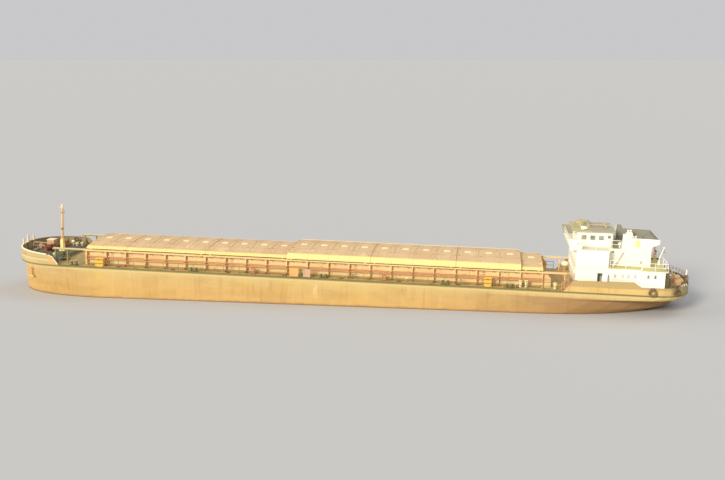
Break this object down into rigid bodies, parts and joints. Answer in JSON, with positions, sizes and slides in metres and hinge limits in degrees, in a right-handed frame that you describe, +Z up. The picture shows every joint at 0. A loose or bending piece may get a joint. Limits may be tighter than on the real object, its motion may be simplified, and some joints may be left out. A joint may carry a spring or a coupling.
{
  "type": "river cargo barge, 1:10 scale model",
  "caption": "Self-propelled river cargo barge with telescoping rolling hatch covers, aft house and wheelhouse, folding masts, twin screws and rudders, as a 1:10 model.",
  "frame": {"origin": "amidships on the centreline, on the hull's flat bottom", "axes": "+X aft along the hull, +Y to starboard, +Z up"},
  "size_m": [9.44, 1.3788, 1.397],
  "materials": {
    "hull_paint": "weathered golden tan paint with rust streaks",
    "bulwark_paint": "weathered pale tan paint",
    "deck_paint": "worn green deck paint",
    "coaming_paint": "weathered tan paint",
    "cover_paint": "faded pinkish tan paint",
    "white_paint": "cream white paint",
    "yellow_paint": "yellow paint",
    "rust_paint": "rusty red-brown primer",
    "rail_paint": "orange-red paint",
    "steel": "dark bare steel",
    "bronze": "dull bronze",
    "rubber": "old black rubber"
  },
  "bodies": {
    "ship": {"hull": "hull_paint", "stern_bulwark": "hull_paint", "anchor_port": "hull_paint", "anchor_starboard": "hull_paint", "bow_bulwark": "bulwark_paint", "forecastle_deck": "deck_paint", "poop_deck": "deck_paint", "coaming_port": "coaming_paint", "coaming_starboard": "coaming_paint", "coaming_fore": "coaming_paint", "coaming_aft": "coaming_paint", "cover_rail_port": "coaming_paint", "cover_rail_starboard": "coaming_paint", "windlass": "rust_paint", "bow_winch": "rust_paint", "stern_windlass": "rust_paint", "deck_rail_port": "rail_paint", "deck_rail_starboard": "rail_paint", "deck_locker_fore": "yellow_paint", "deck_locker_aft": "yellow_paint", "mast_foot": "white_paint", "bow_locker": "white_paint", "deck_vents": "white_paint", "lower_house": "white_paint", "boat_deck": "white_paint", "upper_house": "white_paint", "bridge_deck": "white_paint", "wheelhouse": "white_paint", "wheelhouse_roof": "white_paint", "funnels": "white_paint", "bridge_rail_fore": "white_paint", "bridge_rail_port": "white_paint", "bridge_rail_starboard": "white_paint", "boat_deck_rail": "white_paint", "shaft_port": "steel", "shaft_starboard": "steel", "bridge_ladder": "steel", "fender_port_fore": "rubber", "fender_port_aft": "rubber", "fender_starboard_fore": "rubber", "fender_starboard_aft": "rubber"},
    "front_low_cover": {"low_cover_1": "cover_paint"},
    "low_covers": {"low_cover_2": "cover_paint", "low_cover_3": "cover_paint"},
    "high_covers": {"high_cover_1": "cover_paint", "high_cover_2": "cover_paint", "high_cover_3": "cover_paint"},
    "aft_low_cover": {"low_cover_4": "cover_paint"},
    "propeller_port": {"propeller_port": "bronze"},
    "propeller_starboard": {"propeller_starboard": "bronze"},
    "rudder_port": {"rudder_port": "rust_paint"},
    "rudder_starboard": {"rudder_starboard": "rust_paint"},
    "foremast": {"foremast": "white_paint"},
    "radar_mast": {"radar_mast": "white_paint"},
    "radar_scanner": {"radar_scanner": "white_paint"},
    "house_door_port": {"house_door_port": "yellow_paint"},
    "house_door_starboard": {"house_door_starboard": "yellow_paint"},
    "wheelhouse_door_port": {"wheelhouse_door_port": "white_paint"},
    "wheelhouse_door_starboard": {"wheelhouse_door_starboard": "white_paint"},
    "davit": {"davit": "white_paint"}
  },
  "joints": [
    {"name": "front_low_cover_slide", "type": "slide", "parent": "ship", "child": "front_low_cover", "axis": [-1, 0, 0], "range_m": [0, 0.48]},
    {"name": "low_covers_slide", "type": "slide", "parent": "ship", "child": "low_covers", "axis": [1, 0, 0], "range_m": [0, 3.155]},
    {"name": "high_covers_slide", "type": "slide", "parent": "ship", "child": "high_covers", "axis": [1, 0, 0], "range_m": [-2.87, 0.64]},
    {"name": "aft_low_cover_slide", "type": "slide", "parent": "ship", "child": "aft_low_cover", "axis": [1, 0, 0], "range_m": [0, 0.34]},
    {"name": "propeller_port_spin", "type": "hinge", "parent": "ship", "child": "propeller_port", "pos_m": [4.1, -0.26, 0.11], "axis": [1, 0, 0], "continuous": true},
    {"name": "propeller_starboard_spin", "type": "hinge", "parent": "ship", "child": "propeller_starboard", "pos_m": [4.1, 0.26, 0.11], "axis": [-1, 0, 0], "continuous": true},
    {"name": "rudder_port_turn", "type": "hinge", "parent": "ship", "child": "rudder_port", "pos_m": [4.25, -0.26, 0.15], "axis": [0, 0, 1], "range_deg": [-35, 35]},
    {"name": "rudder_starboard_turn", "type": "hinge", "parent": "ship", "child": "rudder_starboard", "pos_m": [4.25, 0.26, 0.15], "axis": [0, 0, 1], "range_deg": [-35, 35]},
    {"name": "foremast_fold", "type": "hinge", "parent": "ship", "child": "foremast", "pos_m": [-4.11, 0, 0.755], "axis": [0, -1, 0], "range_deg": [0, 80]},
    {"name": "radar_mast_raise", "type": "hinge", "parent": "ship", "child": "radar_mast", "pos_m": [3.43, 0, 1.335], "axis": [0, -1, 0], "range_deg": [0, 88]},
    {"name": "radar_scanner_spin", "type": "hinge", "parent": "ship", "child": "radar_scanner", "pos_m": [3.33, 0, 1.38], "axis": [0, 0, 1], "continuous": true},
    {"name": "house_door_port_swing", "type": "hinge", "parent": "ship", "child": "house_door_port", "pos_m": [3.597, -0.558, 0.7], "axis": [0, 0, 1], "range_deg": [-135, 35]},
    {"name": "house_door_starboard_swing", "type": "hinge", "parent": "ship", "child": "house_door_starboard", "pos_m": [3.597, 0.558, 0.7], "axis": [0, 0, -1], "range_deg": [0, 170]},
    {"name": "wheelhouse_door_port_slide", "type": "slide", "parent": "ship", "child": "wheelhouse_door_port", "axis": [-1, 0, 0], "range_m": [0, 0.066]},
    {"name": "wheelhouse_door_starboard_slide", "type": "slide", "parent": "ship", "child": "wheelhouse_door_starboard", "axis": [-1, 0, 0], "range_m": [0, 0.066]},
    {"name": "davit_slew", "type": "hinge", "parent": "ship", "child": "davit", "pos_m": [4.355, -0.2, 0.918], "axis": [0, 0, 1], "range_deg": [-110, 110]}
  ],
  "couplings": [
    {"joint": "rudder_starboard_turn", "follows": "rudder_port_turn", "ratio": 1}
  ]
}
